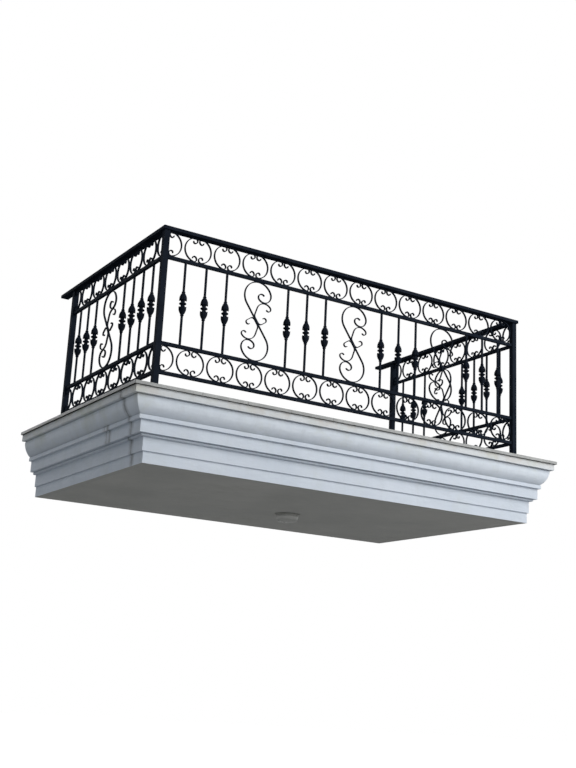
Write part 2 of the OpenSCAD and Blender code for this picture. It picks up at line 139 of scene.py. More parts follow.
# Knuckle of the balusters. Heights are counted from its middle
KNUCKLE_SIDES = 96
COLLAR_Z = 0.068
COLLAR_END_Z = 0.075
COLLAR_R = 0.0110
COLLAR_CAP_R = 0.0065
COLLAR_EASE = 0.0012
CUP_STEPS = 14
CUP_NECK_R = 0.0092
CUP_R = 0.0228
CUP_FULL = 0.80
CUP_HOLLOW = 0.006
CUP_HOLLOW_SHARE = 0.35
GROOVE_R = 0.0120
GROOVE_GAP = 0.0012
BEAD_R = 0.0220
BEAD_H = 0.0115
BEAD_STEPS = 10
BEAD_POWER = 0.7

# Leaves of the knuckle. A leaf's width, lobes and soft edge are shares of the room that it has
LEAVES = 8
LEAF_TIP_Z = 0.0195
LEAF_GAP_Z = 0.0228
LEAF_TIP_SHAPE = (0.1, 0.9)
LEAF_GAP_DEPTH = 0.10
LEAF_GAP_START = 0.3
LEAF_FLARE = 0.0010
LEAF_FLARE_POWER = 7
LEAF_THICK = 0.0018
LEAF_ROLL = 0.3
LEAF_WIDTH = 0.62
LEAF_SWELL = 0.2
LEAF_LOBE = 0.06
LOBE_TURNS = 6
LEAF_EDGE = 0.16
RIB_DEPTH = 0.0007
RIB_WIDTH = 0.1
RIB_REACH = 1.15
VEIN_DEPTH = 0.0004
VEINS_UP = 22
VEINS_OUT = 9

# Ceiling lamp
LAMP_SIDES = 72
PLATE_EASE = 0.003
PLATE_STEPS = 4
PLATE_CAP_R = 0.01
GLASS_STEPS = 14
GLASS_FULLNESS = 3.2
GLASS_T = 0.004
GLASS_CAP_R = 0.0005
# Dust and painted shade in the bowl: how far over its bottom it is full, and how far under its rim it ends
DUST_AND_SHADE_FULL = 0.008
DUST_AND_SHADE_END = 0.016

# Studio. Each light has its place, the light that it gives a surface that faces it, and its colour
WORLD_LIGHT = 0.28
LIGHT_SIZE = 7.0
KEY_LIGHT = ((4.5, -9.0, 4.0), 0.64, (1.0, 0.993, 0.985))
FILL_LIGHT = ((-9.0, -3.0, 4.0), 0.03, (0.94, 0.97, 1.0))
BACK_LIGHT = ((-2.0, 9.0, 5.0), 0.14, (1.0, 1.0, 1.0))
FLOOR_SIDES = 96
FLOOR_REACH = 60.0
FLOOR_NEAR = 3.0
FLOOR_FADE = 14.0
FLOOR_GLOW_NEAR = 0.40

# Sockets of the Mix node when it mixes colours
MIX_AMOUNT = 0
MIX_FIRST = 6
MIX_SECOND = 7
MIX_RESULT = 2

random.seed(11)


def rgb(red, green, blue):
    return (red, green, blue, 1.0)


# Colours. A pair holds the two ends of a material's own variation
IRON_PAINT = (rgb(0.0095, 0.0130, 0.0205), rgb(0.0165, 0.0215, 0.0315))
IRON_WORN = rgb(0.032, 0.037, 0.045)
IRON_DUST = rgb(0.10, 0.10, 0.095)
IRON_GLEAM = rgb(0.72, 0.87, 1.0)

BODY_PAINT = (rgb(0.62, 0.685, 0.77), rgb(0.685, 0.745, 0.825))
# Painted highlight on the belly of the quarter round
BELLY_PAINTED_LIGHT = rgb(0.80, 0.865, 0.94)
CROWN_PAINT = (rgb(0.665, 0.70, 0.725), rgb(0.735, 0.765, 0.79))
EARTHY_STAIN = rgb(0.60, 0.545, 0.48)
DAMP_GREEN = rgb(0.50, 0.53, 0.43)
RAIN_STREAK = rgb(0.42, 0.43, 0.42)
LEDGE_DUST = rgb(0.36, 0.345, 0.31)
JOINT_GRIME = rgb(0.15, 0.155, 0.165)
PAINT_SPECK = rgb(0.30, 0.29, 0.27)
RAW_PLASTER = (rgb(0.40, 0.385, 0.355), rgb(0.54, 0.525, 0.49))

SOFFIT_LAPPED = rgb(0.44, 0.445, 0.425)
SOFFIT_COAT = (rgb(0.43, 0.435, 0.415), rgb(0.52, 0.52, 0.495))
FLOAT_MARK = rgb(0.52, 0.515, 0.49)
SOFFIT_DAMP = rgb(0.27, 0.275, 0.24)
PINHOLE = rgb(0.12, 0.12, 0.11)

CEMENT = (rgb(0.35, 0.345, 0.33), rgb(0.47, 0.465, 0.44))
STONE = (rgb(0.26, 0.25, 0.24), rgb(0.52, 0.49, 0.44))
GROUT = (rgb(0.30, 0.29, 0.27), rgb(0.44, 0.43, 0.405))

# A tile has a dark, a light and a vein colour
FIELD_TILE = (rgb(0.20, 0.205, 0.21), rgb(0.295, 0.30, 0.305), rgb(0.38, 0.38, 0.375))
LIP_TILE = (rgb(0.32, 0.33, 0.325), rgb(0.42, 0.43, 0.425), rgb(0.53, 0.54, 0.53))

LAMP_ENAMEL = (rgb(0.46, 0.46, 0.44), rgb(0.36, 0.36, 0.335))
OPAL_WHITE = (rgb(0.80, 0.80, 0.77), rgb(0.68, 0.68, 0.65))
# Settled dust and painted shade at the bottom of the lamp's bowl
OPAL_DUST_AND_SHADE = rgb(0.37, 0.37, 0.35)

STUDIO_WHITE = rgb(1, 1, 1)
SKY_TINT = rgb(0.93, 0.965, 1.0)
FLOOR_LIT = rgb(0.42, 0.42, 0.42)
FLOOR_SEEN = rgb(0.62, 0.62, 0.62)


# Node trees

def add(tree, kind, inputs=None, **settings):
    """Adds a shader node. An input is a value, or the socket that feeds it."""
    made = tree.nodes.new("ShaderNode" + kind)
    for key, value in settings.items():
        setattr(made, key, value)
    for key, value in (inputs or {}).items():
        if isinstance(value, bpy.types.NodeSocket):
            tree.links.new(value, made.inputs[key])
        else:
            made.inputs[key].default_value = value
    return made


def new_material(name, roughness, **sockets):
    """A material with one Principled shader, whose plain values are set on its own sockets."""
    made = bpy.data.materials.new(name)
    made.use_nodes = True
    tree = made.node_tree
    shader = tree.nodes["Principled BSDF"]
    shader.inputs["Roughness"].default_value = roughness
    for key, value in sockets.items():
        shader.inputs[key.replace("_", " ")].default_value = value
    return made, tree, shader


def finish_material(tree, shader, color, roughness=None, normal=None):
    tree.links.new(color, shader.inputs["Base Color"])
    if roughness is not None:
        tree.links.new(roughness, shader.inputs["Roughness"])
    if normal is not None:
        tree.links.new(normal, shader.inputs["Normal"])


def place(tree, stretch=(1, 1, 1)):
    """The point on the object, in metres, scaled along each axis."""
    coords = add(tree, "TexCoord").outputs["Object"]
    return add(tree, "Mapping", {"Vector": coords, "Scale": stretch}).outputs["Vector"]


def noise(tree, where, scale, detail=4.0, roughness=0.55):
    inputs = {"Vector": where, "Scale": scale, "Detail": detail, "Roughness": roughness}
    return add(tree, "TexNoise", inputs).outputs["Fac"]


def cells(tree, where, scale):
    """Cells round scattered points: each gives the Distance to its point, and a Color of its own."""
    return add(tree, "TexVoronoi", {"Vector": where, "Scale": scale}).outputs


def spread(tree, value, low, high, to_low=0.0, to_high=1.0):
    """Maps low..high to to_low..to_high, and no further."""
    inputs = {"Value": value, "From Min": low, "From Max": high, "To Min": to_low, "To Max": to_high}
    return add(tree, "MapRange", inputs, clamp=True).outputs["Result"]


def math_node(tree, operation, first, second=0.0):
    return add(tree, "Math", {0: first, 1: second}, operation=operation).outputs["Value"]


def times(tree, first, second):
    return math_node(tree, "MULTIPLY", first, second)


def plus(tree, first, second):
    return math_node(tree, "ADD", first, second)


def highest(tree, first, second):
    return math_node(tree, "MAXIMUM", first, second)


def off_from(tree, value, middle):
    """How far the value is from the middle."""
    return math_node(tree, "ABSOLUTE", plus(tree, value, -middle))


def near(tree, value, middle, solid, fade):
    """1 within solid of the middle, falling to 0 at fade."""
    return spread(tree, off_from(tree, value, middle), solid, fade, 1.0, 0.0)


def mix(tree, amount, first, second):
    """Mixes two colours; amount 0 is the first."""
    inputs = {MIX_AMOUNT: amount, MIX_FIRST: first, MIX_SECOND: second}
    return add(tree, "Mix", inputs, data_type="RGBA").outputs[MIX_RESULT]


def axes_of(tree, vector):
    return add(tree, "SeparateXYZ", {"Vector": vector}).outputs


def facing(tree, axis):
    """How far the surface faces along an axis, from -1 to 1."""
    return axes_of(tree, add(tree, "NewGeometry").outputs["Normal"])[axis]


def bump(tree, height, depth, normal=None):
    inputs = {"Height": height, "Distance": depth, "Strength": 1.0}
    if normal is not None:
        inputs["Normal"] = normal
    return add(tree, "Bump", inputs).outputs["Normal"]


# Iron

def painted_iron():
    """Black paint on forged bars: hammer marks under a brushed coat, which is duller on the undersides,
    and a little dust on the tops."""
    made, tree, shader = new_material(
        "painted_iron", 0.5, Specular_IOR_Level=0.005, Specular_Tint=IRON_GLEAM,
    )
    where = place(tree)
    patches = noise(tree, where, 9.0, 5.0)
    brushed = noise(tree, place(tree, (1, 1, 0.35)), 130.0, 3.0)
    black = mix(tree, spread(tree, patches, 0.35, 0.7), *IRON_PAINT)
    worn = mix(tree, spread(tree, brushed, 0.58, 0.85, 0.0, 0.25), black, IRON_WORN)
    upward = facing(tree, "Z")
    on_top = spread(tree, upward, 0.7, 0.98)
    settled = times(tree, on_top, spread(tree, patches, 0.35, 0.7, 0.03, 0.24))
    dusty = mix(tree, settled, worn, IRON_DUST)
    dullness = plus(tree, spread(tree, brushed, 0.3, 0.7, 0.48, 0.64), times(tree, settled, 0.6))
    dullness = plus(tree, dullness, spread(tree, upward, -0.95, -0.6, 0.36, 0.0))
    hammered = noise(tree, where, 70.0, 2.0)
    grain = noise(tree, where, 420.0, 2.0)
    relief = bump(tree, grain, 0.00025, bump(tree, hammered, 0.0011))
    finish_material(tree, shader, dusty, dullness, relief)
    return made


# Masonry

def clean_cornice(tree, where, mottle, top):
    """Bluish white paint with a painted highlight on the belly of the quarter round, under a warmer crown,
    and earthy stains near the top."""
    height = axes_of(tree, where)["Z"]
    clouds = noise(tree, where, 2.4, 5.0, 0.6)
    body = mix(tree, spread(tree, clouds, 0.35, 0.68), *BODY_PAINT)
    # Painted highlight: the paint is lighter on the belly of the quarter round, where the light falls most
    belly = near(tree, height, top - BELLY_DOWN, BELLY_HALF, BELLY_FADE)
    belly_light = times(tree, belly, spread(tree, mottle, 0.3, 0.7, 0.6, 1.0))
    lit_belly = mix(tree, belly_light, body, BELLY_PAINTED_LIGHT)
    cream = mix(tree, spread(tree, mottle, 0.35, 0.7), *CROWN_PAINT)
    crown = spread(tree, height, top - CROWN_H - CROWN_EDGE, top - CROWN_H + CROWN_EDGE)
    stains = spread(tree, noise(tree, where, 4.6, 6.0, 0.7), 0.48, 0.66, 0.0, 0.6)
    near_top = spread(tree, height, top - STAIN_START * CROWN_H, top - STAIN_FULL * CROWN_H)
    earthy = times(tree, stains, near_top)
    return mix(tree, earthy, mix(tree, crown, lit_belly, cream), EARTHY_STAIN)


def weathered(tree, where, paint, mottle, bottom, top):
    """Adds green where it stays damp, rain streaks, and dust on the ledges."""
    height = axes_of(tree, where)["Z"]
    patches = spread(tree, noise(tree, where, 5.5, 5.0, 0.65), 0.5, 0.68)
    damp = times(tree, patches, spread(tree, height, DAMP_Z, top, 0.1, 0.5))
    mossy = mix(tree, damp, paint, DAMP_GREEN)
    streaks = noise(tree, place(tree, (1, 1, 0.09)), 17.0, 5.0, 0.68)
    run_off = times(tree, spread(tree, streaks, 0.52, 0.85), spread(tree, height, bottom, top, 0.3, 0.6))
    streaked = mix(tree, times(tree, run_off, 0.38), mossy, RAIN_STREAK)
    level = spread(tree, facing(tree, "Z"), 0.5, 0.95)
    ledge = times(tree, level, spread(tree, mottle, 0.3, 0.7, 0.35, 0.85))
    return mix(tree, ledge, streaked, LEDGE_DUST)


def joint_dirt(tree, where, smudge, course, places):
    """A dark line with a smudge round it, between two heights of a course, at each place along the returns.
    A place comes with the strength of its dirt."""
    axes = axes_of(tree, where)
    low, high = course
    half = (high - low) / 2
    in_course = near(tree, axes["Z"], (low + high) / 2, half - COURSE_FADE, half + COURSE_FADE)
    dirt = 0.0
    for at, strength in places:
        line = times(tree, near(tree, axes["Y"], at, LINE_HALF, LINE_FADE), LINE_STRENGTH * strength)
        round_it = near(tree, axes["Y"], at, SMUDGE_HALF, SMUDGE_FADE)
        stain = times(tree, round_it, times(tree, smudge, strength))
        dirt = highest(tree, dirt, highest(tree, line, stain))
    return times(tree, in_course, dirt)


def grimy_joints(tree, where, paint, mottle, upper_box, lower_box):
    """Adds dirt where the front length of each course, whose box is given, ends on the returns, and at the
    patched joint of the left return."""
    smudge = spread(tree, mottle, 0.36, 0.62, 0.16, 0.6)
    low, high = upper_box[0].z, upper_box[1].z
    upper = joint_dirt(tree, where, smudge, (low, high), [(upper_box[1].y, 1.0)])
    lower = joint_dirt(tree, where, smudge, (lower_box[0].z, lower_box[1].z), [(lower_box[1].y, 1.0)])
    patch = joint_dirt(tree, where, smudge, (low, high - PATCH_DOWN), PATCH_LINES)
    on_left = spread(tree, axes_of(tree, where)["X"], -LEFT_FADE, LEFT_FADE, 1.0, 0.0)
    dirt = highest(tree, upper, highest(tree, times(tree, patch, on_left), lower))
    return mix(tree, dirt, paint, JOINT_GRIME)


def unpainted(tree, where, paint, mottle, bottom):
    """Adds the soffit's grey coat on what faces down at the bottom, and raw plaster on the ends at the
    mounting face."""
    axes = axes_of(tree, where)
    at_bottom = spread(tree, axes["Z"], bottom + 2 * SOFFIT_LAP, bottom + SOFFIT_LAP)
    under = times(tree, spread(tree, facing(tree, "Z"), -0.9, -0.98), at_bottom)
    lapped = mix(tree, under, paint, SOFFIT_LAPPED)
    at_mount = spread(tree, axes["Y"], -CUT_DEPTH, -CUT_DEPTH / 3)
    cut = times(tree, spread(tree, facing(tree, "Y"), 0.9, 0.97), at_mount)
    raw = mix(tree, spread(tree, mottle, 0.35, 0.7), *RAW_PLASTER)
    return mix(tree, cut, lapped, raw)


def cornice_paint():
    """Weathered masonry paint, with dirt in the joints, dark specks, a trowelled face and a fine grain."""
    upper_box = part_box("cornice_upper_front")
    lower_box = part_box("cornice_lower_front")
    top = upper_box[1].z
    bottom = lower_box[0].z
    made, tree, shader = new_material("cornice_paint", 0.62, Specular_IOR_Level=0.3)
    where = place(tree)
    mottle = noise(tree, where, 22.0, 4.0, 0.6)
    clean = clean_cornice(tree, where, mottle, top)
    dusty = weathered(tree, where, clean, mottle, bottom, top)
    jointed = grimy_joints(tree, where, dusty, mottle, upper_box, lower_box)
    spots = spread(tree, cells(tree, where, 85.0)["Distance"], 0.05, 0.11, 1.0, 0.0)
    speckle = times(tree, spots, spread(tree, mottle, 0.55, 0.7, 0.0, 0.4))
    spotted = mix(tree, speckle, jointed, PAINT_SPECK)
    color = unpainted(tree, where, spotted, mottle, bottom)
    trowel = noise(tree, place(tree, (1, 1, 2.2)), 7.0, 3.0)
    grain = noise(tree, where, 260.0, 3.0)
    relief = bump(tree, grain, 0.0005, bump(tree, trowel, 0.004))
    finish_material(tree, shader, color, spread(tree, mottle, 0.3, 0.7, 0.56, 0.72), relief)
    return made


def soffit_render():
    """Plain grey render with float marks, damp clouds and a few pinholes."""
    made, tree, shader = new_material("soffit_render", 0.85)
    where = place(tree)
    clouds = noise(tree, where, 1.7, 5.0, 0.62)
    floated = noise(tree, place(tree, (1, 2.6, 1)), 9.0, 5.0, 0.65)
    base = mix(tree, spread(tree, clouds, 0.34, 0.68), *SOFFIT_COAT)
    marks = mix(tree, spread(tree, floated, 0.5, 0.78, 0.0, 0.4), base, FLOAT_MARK)
    damp = spread(tree, noise(tree, where, 0.9, 6.0, 0.7), 0.56, 0.7, 0.0, 0.45)
    stained = mix(tree, damp, marks, SOFFIT_DAMP)
    holes = spread(tree, cells(tree, where, 60.0)["Distance"], 0.03, 0.07, 1.0, 0.0)
    color = mix(tree, times(tree, holes, 0.5), stained, PINHOLE)
    grain = noise(tree, where, 240.0, 4.0, 0.7)
    relief = bump(tree, grain, 0.0011, bump(tree, floated, 0.003))
    finish_material(tree, shader, color, None, relief)
    return made


def cast_concrete():
    """Cut face of the slab: cement with stones of several greys."""
    made, tree, shader = new_material("cast_concrete", 0.88)
    where = place(tree)
    stones = cells(tree, where, 62.0)
    of_cell = axes_of(tree, stones["Color"])
    stone = mix(tree, of_cell["X"], *STONE)
    clouds = noise(tree, where, 6.0, 6.0, 0.65)
    cement = mix(tree, spread(tree, clouds, 0.3, 0.7), *CEMENT)
    inside = spread(tree, stones["Distance"], 0.30, 0.36, 1.0, 0.0)
    present = times(tree, inside, spread(tree, of_cell["Y"], 0.4, 0.5))
    color = mix(tree, times(tree, present, 0.8), cement, stone)
    rough = noise(tree, where, 120.0, 5.0, 0.7)
    relief = bump(tree, rough, 0.0022, bump(tree, present, 0.0008))
    finish_material(tree, shader, color, None, relief)
    return made


# Tiles

def glazed_tile(name, dark, light, vein):
    """Fired tile: each has its own tone, with a fine cloudy figure and a worn gloss."""
    made, tree, shader = new_material(name, 0.4, Specular_IOR_Level=0.2)
    where = place(tree)
    tone = add(tree, "Attribute", attribute_name="tone").outputs["Fac"]
    shift = add(tree, "CombineXYZ", {"Z": times(tree, tone, FIGURE_SHIFT)}).outputs["Vector"]
    own = add(tree, "VectorMath", {0: where, 1: shift}, operation="ADD").outputs["Vector"]
    clouds = noise(tree, own, 7.0, 6.0, 0.62)
    base = mix(tree, spread(tree, clouds, 0.32, 0.7), dark, light)
    figure = noise(tree, own, 2.6, 7.0, 0.72)
    line = spread(tree, off_from(tree, figure, 0.5), 0.0, 0.03, 0.5, 0.0)
    veined = mix(tree, line, base, vein)
    toned = mix(tree, spread(tree, tone, 0.0, 1.0, 0.0, 0.30), veined, dark)
    specks = noise(tree, own, 330.0, 2.0)
    color = mix(tree, spread(tree, specks, 0.6, 0.75, 0.0, 0.35), toned, vein)
    dullness = spread(tree, noise(tree, where, 14.0, 5.0), 0.3, 0.75, 0.32, 0.58)
    relief = bump(tree, noise(tree, own, 60.0, 4.0), 0.0005)
    finish_material(tree, shader, color, dullness, relief)
    return made


def tile_grout():
    made, tree, shader = new_material("tile_grout", 0.92)
    where = place(tree)
    dirt = noise(tree, where, 11.0, 5.0, 0.65)
    color = mix(tree, spread(tree, dirt, 0.35, 0.7), *GROUT)
    finish_material(tree, shader, color, None, bump(tree, noise(tree, where, 420.0, 3.0), 0.0004))
    return made


# Lamp

def lamp_enamel():
    made, tree, shader = new_material("lamp_enamel", 0.35)
    dust = noise(tree, place(tree), 24.0, 5.0, 0.6)
    color = mix(tree, spread(tree, dust, 0.35, 0.75), *LAMP_ENAMEL)
    finish_material(tree, shader, color, spread(tree, dust, 0.3, 0.7, 0.28, 0.5))
    return made


def opal_glass():
    """Opal glass, dulled by dust outside, with settled dust and painted shade in the bottom of the bowl."""
    low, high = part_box("ceiling_lamp_bowl")
    made, tree, shader = new_material(
        "opal_glass", 0.3, Subsurface_Weight=0.2, Subsurface_Scale=0.008,
        Subsurface_Radius=(1.0, 1.0, 1.0), Coat_Weight=0.15, Coat_Roughness=0.12,
    )
    where = place(tree)
    dust = noise(tree, where, 17.0, 6.0, 0.62)
    white = mix(tree, spread(tree, dust, 0.35, 0.75), *OPAL_WHITE)
    # Painted shade, with settled dust: the glass is darker towards the bottom of the bowl
    settled = spread(tree, axes_of(tree, where)["Z"], low.z + DUST_AND_SHADE_FULL, high.z - DUST_AND_SHADE_END, 0.85, 0.0)
    color = mix(tree, settled, white, OPAL_DUST_AND_SHADE)
    finish_material(tree, shader, color, spread(tree, dust, 0.3, 0.7, 0.24, 0.4))
    return made


iron = painted_iron()
cornice = cornice_paint()
render_coat = soffit_render()
concrete = cast_concrete()
field_tile = glazed_tile("field_tile", *FIELD_TILE)
lip_tile = glazed_tile("lip_tile", *LIP_TILE)
grout = tile_grout()
enamel = lamp_enamel()
opal = opal_glass()

MATERIAL_OF_SLOT = {
    "concrete": concrete, "soffit_plaster": render_coat, "floor_tile": field_tile, "edge_tile": lip_tile,
    "cornice_render": cornice, "lamp_base": enamel, "lamp_glass": opal, "railing_iron": iron,
}
for part in frame["record"]["subparts"]:
    for holder in nodes[part["node"]].material_slots:
        holder.material = MATERIAL_OF_SLOT[part["material_slot"]]


# Meshes

def new_piece(name, bm, materials):
    """Turns a bmesh into a piece that rides on the balcony."""
    bmesh.ops.recalc_face_normals(bm, faces=bm.faces)
    mesh = bpy.data.meshes.new(name)
    bm.to_mesh(mesh)
    bm.free()
    for made in materials:
        mesh.materials.append(made)
    piece = bpy.data.objects.new(name, mesh)
    bpy.context.scene.collection.objects.link(piece)
    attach(piece, "root")
    return piece


def closed_loft(bm, rings):
    """Skins rings of like length and closes both ends. Gives the faces of the ends and of the skin."""
    loops = [[bm.verts.new(point) for point in ring] for ring in rings]
    ends = [bm.faces.new(loops[0]), bm.faces.new(list(reversed(loops[-1])))]
    skin = []
    for first, second in zip(loops, loops[1:]):
        for i, vert in enumerate(first):
            after = (i + 1) % len(first)
            skin.append(bm.faces.new((vert, second[i], second[after], first[after])))
    return ends, skin


def smooth_loft(bm, rings):
    """A closed loft whose skin is shaded smooth."""
    for face in closed_loft(bm, rings)[1]:
        face.smooth = True


def tile_mesh():
    """A new bmesh whose faces can hold the tone of their tile."""
    bm = bmesh.new()
    bm.loops.layers.color.new("tone")
    return bm


def tile_loft(bm, rings, material, tone):
    """A closed loft of one material and one tone, in a tile mesh."""
    layer = bm.loops.layers.color["tone"]
    ends, skin = closed_loft(bm, rings)
    for face in ends + skin:
        face.material_index = material
        for corner in face.loops:
            corner[layer] = rgb(tone, tone, tone)


def turns_of(sides):
    return [math.tau * i / sides for i in range(sides)]


def around(centre, radius, turn):
    """Place of a point on a circle about an upright axis."""
    return centre.x + radius * math.cos(turn), centre.y + radius * math.sin(turn)


def rectangle(low, high, inset, z):
    x0, y0, x1, y1 = low[0] + inset, low[1] + inset, high[0] - inset, high[1] - inset
    return [(x0, y0, z), (x1, y0, z), (x1, y1, z), (x0, y1, z)]


def joints_between(start, end, anchor):
    """Places of the tile joints from start to end, one module apart and in line with the anchor."""
    first = math.floor((start - anchor) / TILE_MODULE)
    last = math.ceil((end - anchor) / TILE_MODULE)
    places = [anchor + count * TILE_MODULE for count in range(first, last + 1)]
    inside = [at for at in places if start + NARROWEST_CUT < at < end - NARROWEST_CUT]
    return [start] + inside + [end]


def tile_field():
    """Square tiles on a bed of grout, laid from the front edge, so that the cut row is at the back."""
    low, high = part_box("floor_tiles")
    bm = tile_mesh()
    bed = [rectangle(low, high, 0.0, low.z), rectangle(low, high, 0.0, high.z - GROUT_DROP)]
    tile_loft(bm, bed, BED, 0.0)
    columns = joints_between(low.x, high.x, low.x)
    rows = joints_between(low.y, high.y, low.y)
    half = TILE_JOINT / 2
    for x0, x1 in zip(columns, columns[1:]):
        for y0, y1 in zip(rows, rows[1:]):
            corner = (x0 + half, y0 + half)
            opposite = (x1 - half, y1 - half)
            rings = [
                rectangle(corner, opposite, 0.0, high.z - 2 * GROUT_DROP),
                rectangle(corner, opposite, 0.0, high.z - TILE_EASE),
                rectangle(corner, opposite, TILE_EASE, high.z),
            ]
            tile_loft(bm, rings, TILE, random.random())
    piece = new_piece("floor_tiles_laid", bm, [field_tile, grout])
    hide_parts("floor_tiles")


def lip_outline(width, low_z, high_z, inset):
    """Outline of an edge tile as distance in from the lip and height, with its upper edge rounded."""
    points = [(width, low_z), (inset, low_z)]
    middle_z = high_z - LIP_ROUND
    radius = LIP_ROUND - inset
    for step in range(LIP_STEPS + 1):
        turn = math.pi / 2 * step / LIP_STEPS
        points.append((LIP_ROUND - radius * math.cos(turn), middle_z + radius * math.sin(turn)))
    points.append((width, high_z - inset))
    return points


def edge_tiles(side):
    """Edge tiles with a rounded lip, mitred at the front corners and jointed in line with the field."""
    node = "floor_edge_" + side
    low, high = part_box(node)
    field_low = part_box("floor_tiles")[0]
    at_front = side == "front"
    width = (high.y - low.y) if at_front else (high.x - low.x)
    start, end = (low.x, high.x) if at_front else (low.y, high.y)
    anchor = field_low.x if at_front else field_low.y
    end_mitre = -1 if at_front else 0

    def at(along, inward, z):
        if at_front:
            return (along, low.y + inward, z)
        return (low.x + inward if side == "left" else high.x - inward, along, z)

    def cut(outline, along, mitre=0):
        """The outline at one end of a tile; mitre is 1 or -1 at a corner, which slants the cut."""
        return [at(along + mitre * inward, inward, z) for inward, z in outline]

    bm = tile_mesh()
    bed = lip_outline(width, low.z, high.z, GROUT_DROP)
    tile_loft(bm, [cut(bed, start, 1), cut(bed, end, end_mitre)], BED, 0.0)
    outline = lip_outline(width, low.z, high.z, 0.0)
    joints = joints_between(start + width, end - width if at_front else end, anchor)[1:-1]
    half = TILE_JOINT / 2
    starts = [cut(outline, start + half, 1)] + [cut(outline, joint + half) for joint in joints]
    ends = [cut(outline, joint - half) for joint in joints] + [cut(outline, end - half, end_mitre)]
    for rings in zip(starts, ends):
        tile_loft(bm, rings, TILE, random.random())
    piece = new_piece(node + "_laid", bm, [lip_tile, grout])
    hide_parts(node)


def solids_of(node):
    """Lowest and highest corner of each separate solid of a node, from left to right and front to back."""
    bm = bmesh.new()
    bm.from_mesh(nodes[node].data)
    bmesh.ops.remove_doubles(bm, verts=bm.verts, dist=MERGE_DISTANCE)
    left = set(bm.verts)
    boxes = []
    while left:
        found = [left.pop()]
        for vert in found:
            for edge in vert.link_edges:
                other = edge.other_vert(vert)
                if other in left:
                    left.remove(other)
                    found.append(other)
        low = Vector(min(vert.co[axis] for vert in found) for axis in range(3))
        high = Vector(max(vert.co[axis] for vert in found) for axis in range(3))
        boxes.append((low, high))
    bm.free()
    return sorted(boxes, key=lambda box: (round(box[0].x, SORT_DIGITS), round(box[0].y, SORT_DIGITS)))


def ease(value, low, high):
    """0 at low and 1 at high, with soft ends."""
    share = min(max((value - low) / (high - low), 0.0), 1.0)
    return share * share * (3 - 2 * share)


def leaf_share(turn, t):
    """How much of the cup is leaf at a turn round it and a share t of the way to the rim, from 0 in the gaps
    to 1, and how far that is from the leaf's middle. A leaf is narrower at both ends, with lobed edges."""
    off = abs((turn * LEAVES / math.tau + 0.5) % 1.0 - 0.5) * 2
    lobes = LEAF_LOBE * math.cos(LOBE_TURNS * math.pi * t)
    edge = LEAF_WIDTH + LEAF_SWELL * math.sin(math.pi * t) + lobes
    return 1 - ease(off, edge - LEAF_EDGE, edge + LEAF_EDGE), off


def leaf_point(turn, t):
    """Turn, radius and height of a point on the outside of the cup, a share t of the way to its rim."""
    leaf, off = leaf_share(turn, t)
    swell = CUP_NECK_R + (CUP_R - CUP_NECK_R) * math.sin(math.pi / 2 * min(t / CUP_FULL, 1.0))
    gap = LEAF_GAP_DEPTH * (1 - leaf) * ease(t, 0.0, LEAF_GAP_START)
    flare = LEAF_FLARE * leaf * t ** LEAF_FLARE_POWER
    rib = RIB_DEPTH * math.exp(-(off / RIB_WIDTH) ** 2) * math.sin(math.pi * min(t * RIB_REACH, 1.0))
    vein = VEIN_DEPTH * math.cos(VEINS_UP * t - VEINS_OUT * off) * leaf * math.sin(math.pi * t)
    rim_z = LEAF_GAP_Z + (LEAF_TIP_Z - LEAF_GAP_Z) * leaf * ease(1 - off, *LEAF_TIP_SHAPE)
    return turn, swell * (1 - gap) + flare + rib + vein, COLLAR_Z + t * (rim_z - COLLAR_Z)


def cup_rings(turns):
    """Rings of one leafed cup, from its collar to its rim and back in to the groove beside the bead."""
    rings = [[leaf_point(turn, step / CUP_STEPS) for turn in turns] for step in range(CUP_STEPS + 1)]
    inner = []
    hollow = []
    for turn, radius, z in rings[-1]:
        inner.append((turn, radius - LEAF_THICK, z + LEAF_ROLL * LEAF_THICK))
        hollow.append((turn, GROOVE_R + CUP_HOLLOW_SHARE * (radius - GROOVE_R), z + CUP_HOLLOW))
    groove = [[(turn, GROOVE_R, z) for turn in turns] for z in (LEAF_GAP_Z, BEAD_H / 2 + GROOVE_GAP)]
    return rings + [inner, hollow] + groove


def knuckle_rings():
    """Rings of the whole double knuckle, from the top down, as turn, radius and height."""
    turns = turns_of(KNUCKLE_SIDES)
    collar = [
        (COLLAR_CAP_R, COLLAR_END_Z),
        (COLLAR_R - COLLAR_EASE, COLLAR_END_Z),
        (COLLAR_R, COLLAR_END_Z - COLLAR_EASE),
        (COLLAR_R, COLLAR_Z + COLLAR_EASE),
        (COLLAR_R - COLLAR_EASE, COLLAR_Z),
    ]
    upper = [[(turn, radius, z) for turn in turns] for radius, z in collar] + cup_rings(turns)
    bead = []
    for step in range(1, BEAD_STEPS):
        lift = math.cos(math.pi * step / BEAD_STEPS) * BEAD_H / 2
        reach = math.sin(math.pi * step / BEAD_STEPS) ** BEAD_POWER * (BEAD_R - GROOVE_R)
        bead.append([(turn, GROOVE_R + reach, lift) for turn in turns])
    lower = [[(turn, radius, -z) for turn, radius, z in ring] for ring in reversed(upper)]
    return upper + bead + lower


def square_ring(centre, half, z):
    """A square with eased corners."""
    x, y, inner = centre.x, centre.y, half - BAR_EASE
    corners = [(half, -inner), (half, inner), (inner, half), (-inner, half),
               (-half, inner), (-half, -inner), (-inner, -half), (inner, -half)]
    return [(x + dx, y + dy, z) for dx, dy in corners]


def bar_rings(centre, low_z, high_z):
    """Rings of a square bar from its foot to its head, with a weld at each, of its own size."""
    half = BAR_W / 2
    foot, head = [WELD * random.uniform(*WELD_RANGE) for _ in range(2)]
    return [
        square_ring(centre, half + foot, low_z),
        square_ring(centre, half + WELD_WAIST * foot, low_z + WELD_WAIST_Z * foot),
        square_ring(centre, half, low_z + foot),
        square_ring(centre, half, high_z - head),
        square_ring(centre, half + WELD_WAIST * head, high_z - WELD_WAIST_Z * head),
        square_ring(centre, half + head, high_z),
    ]


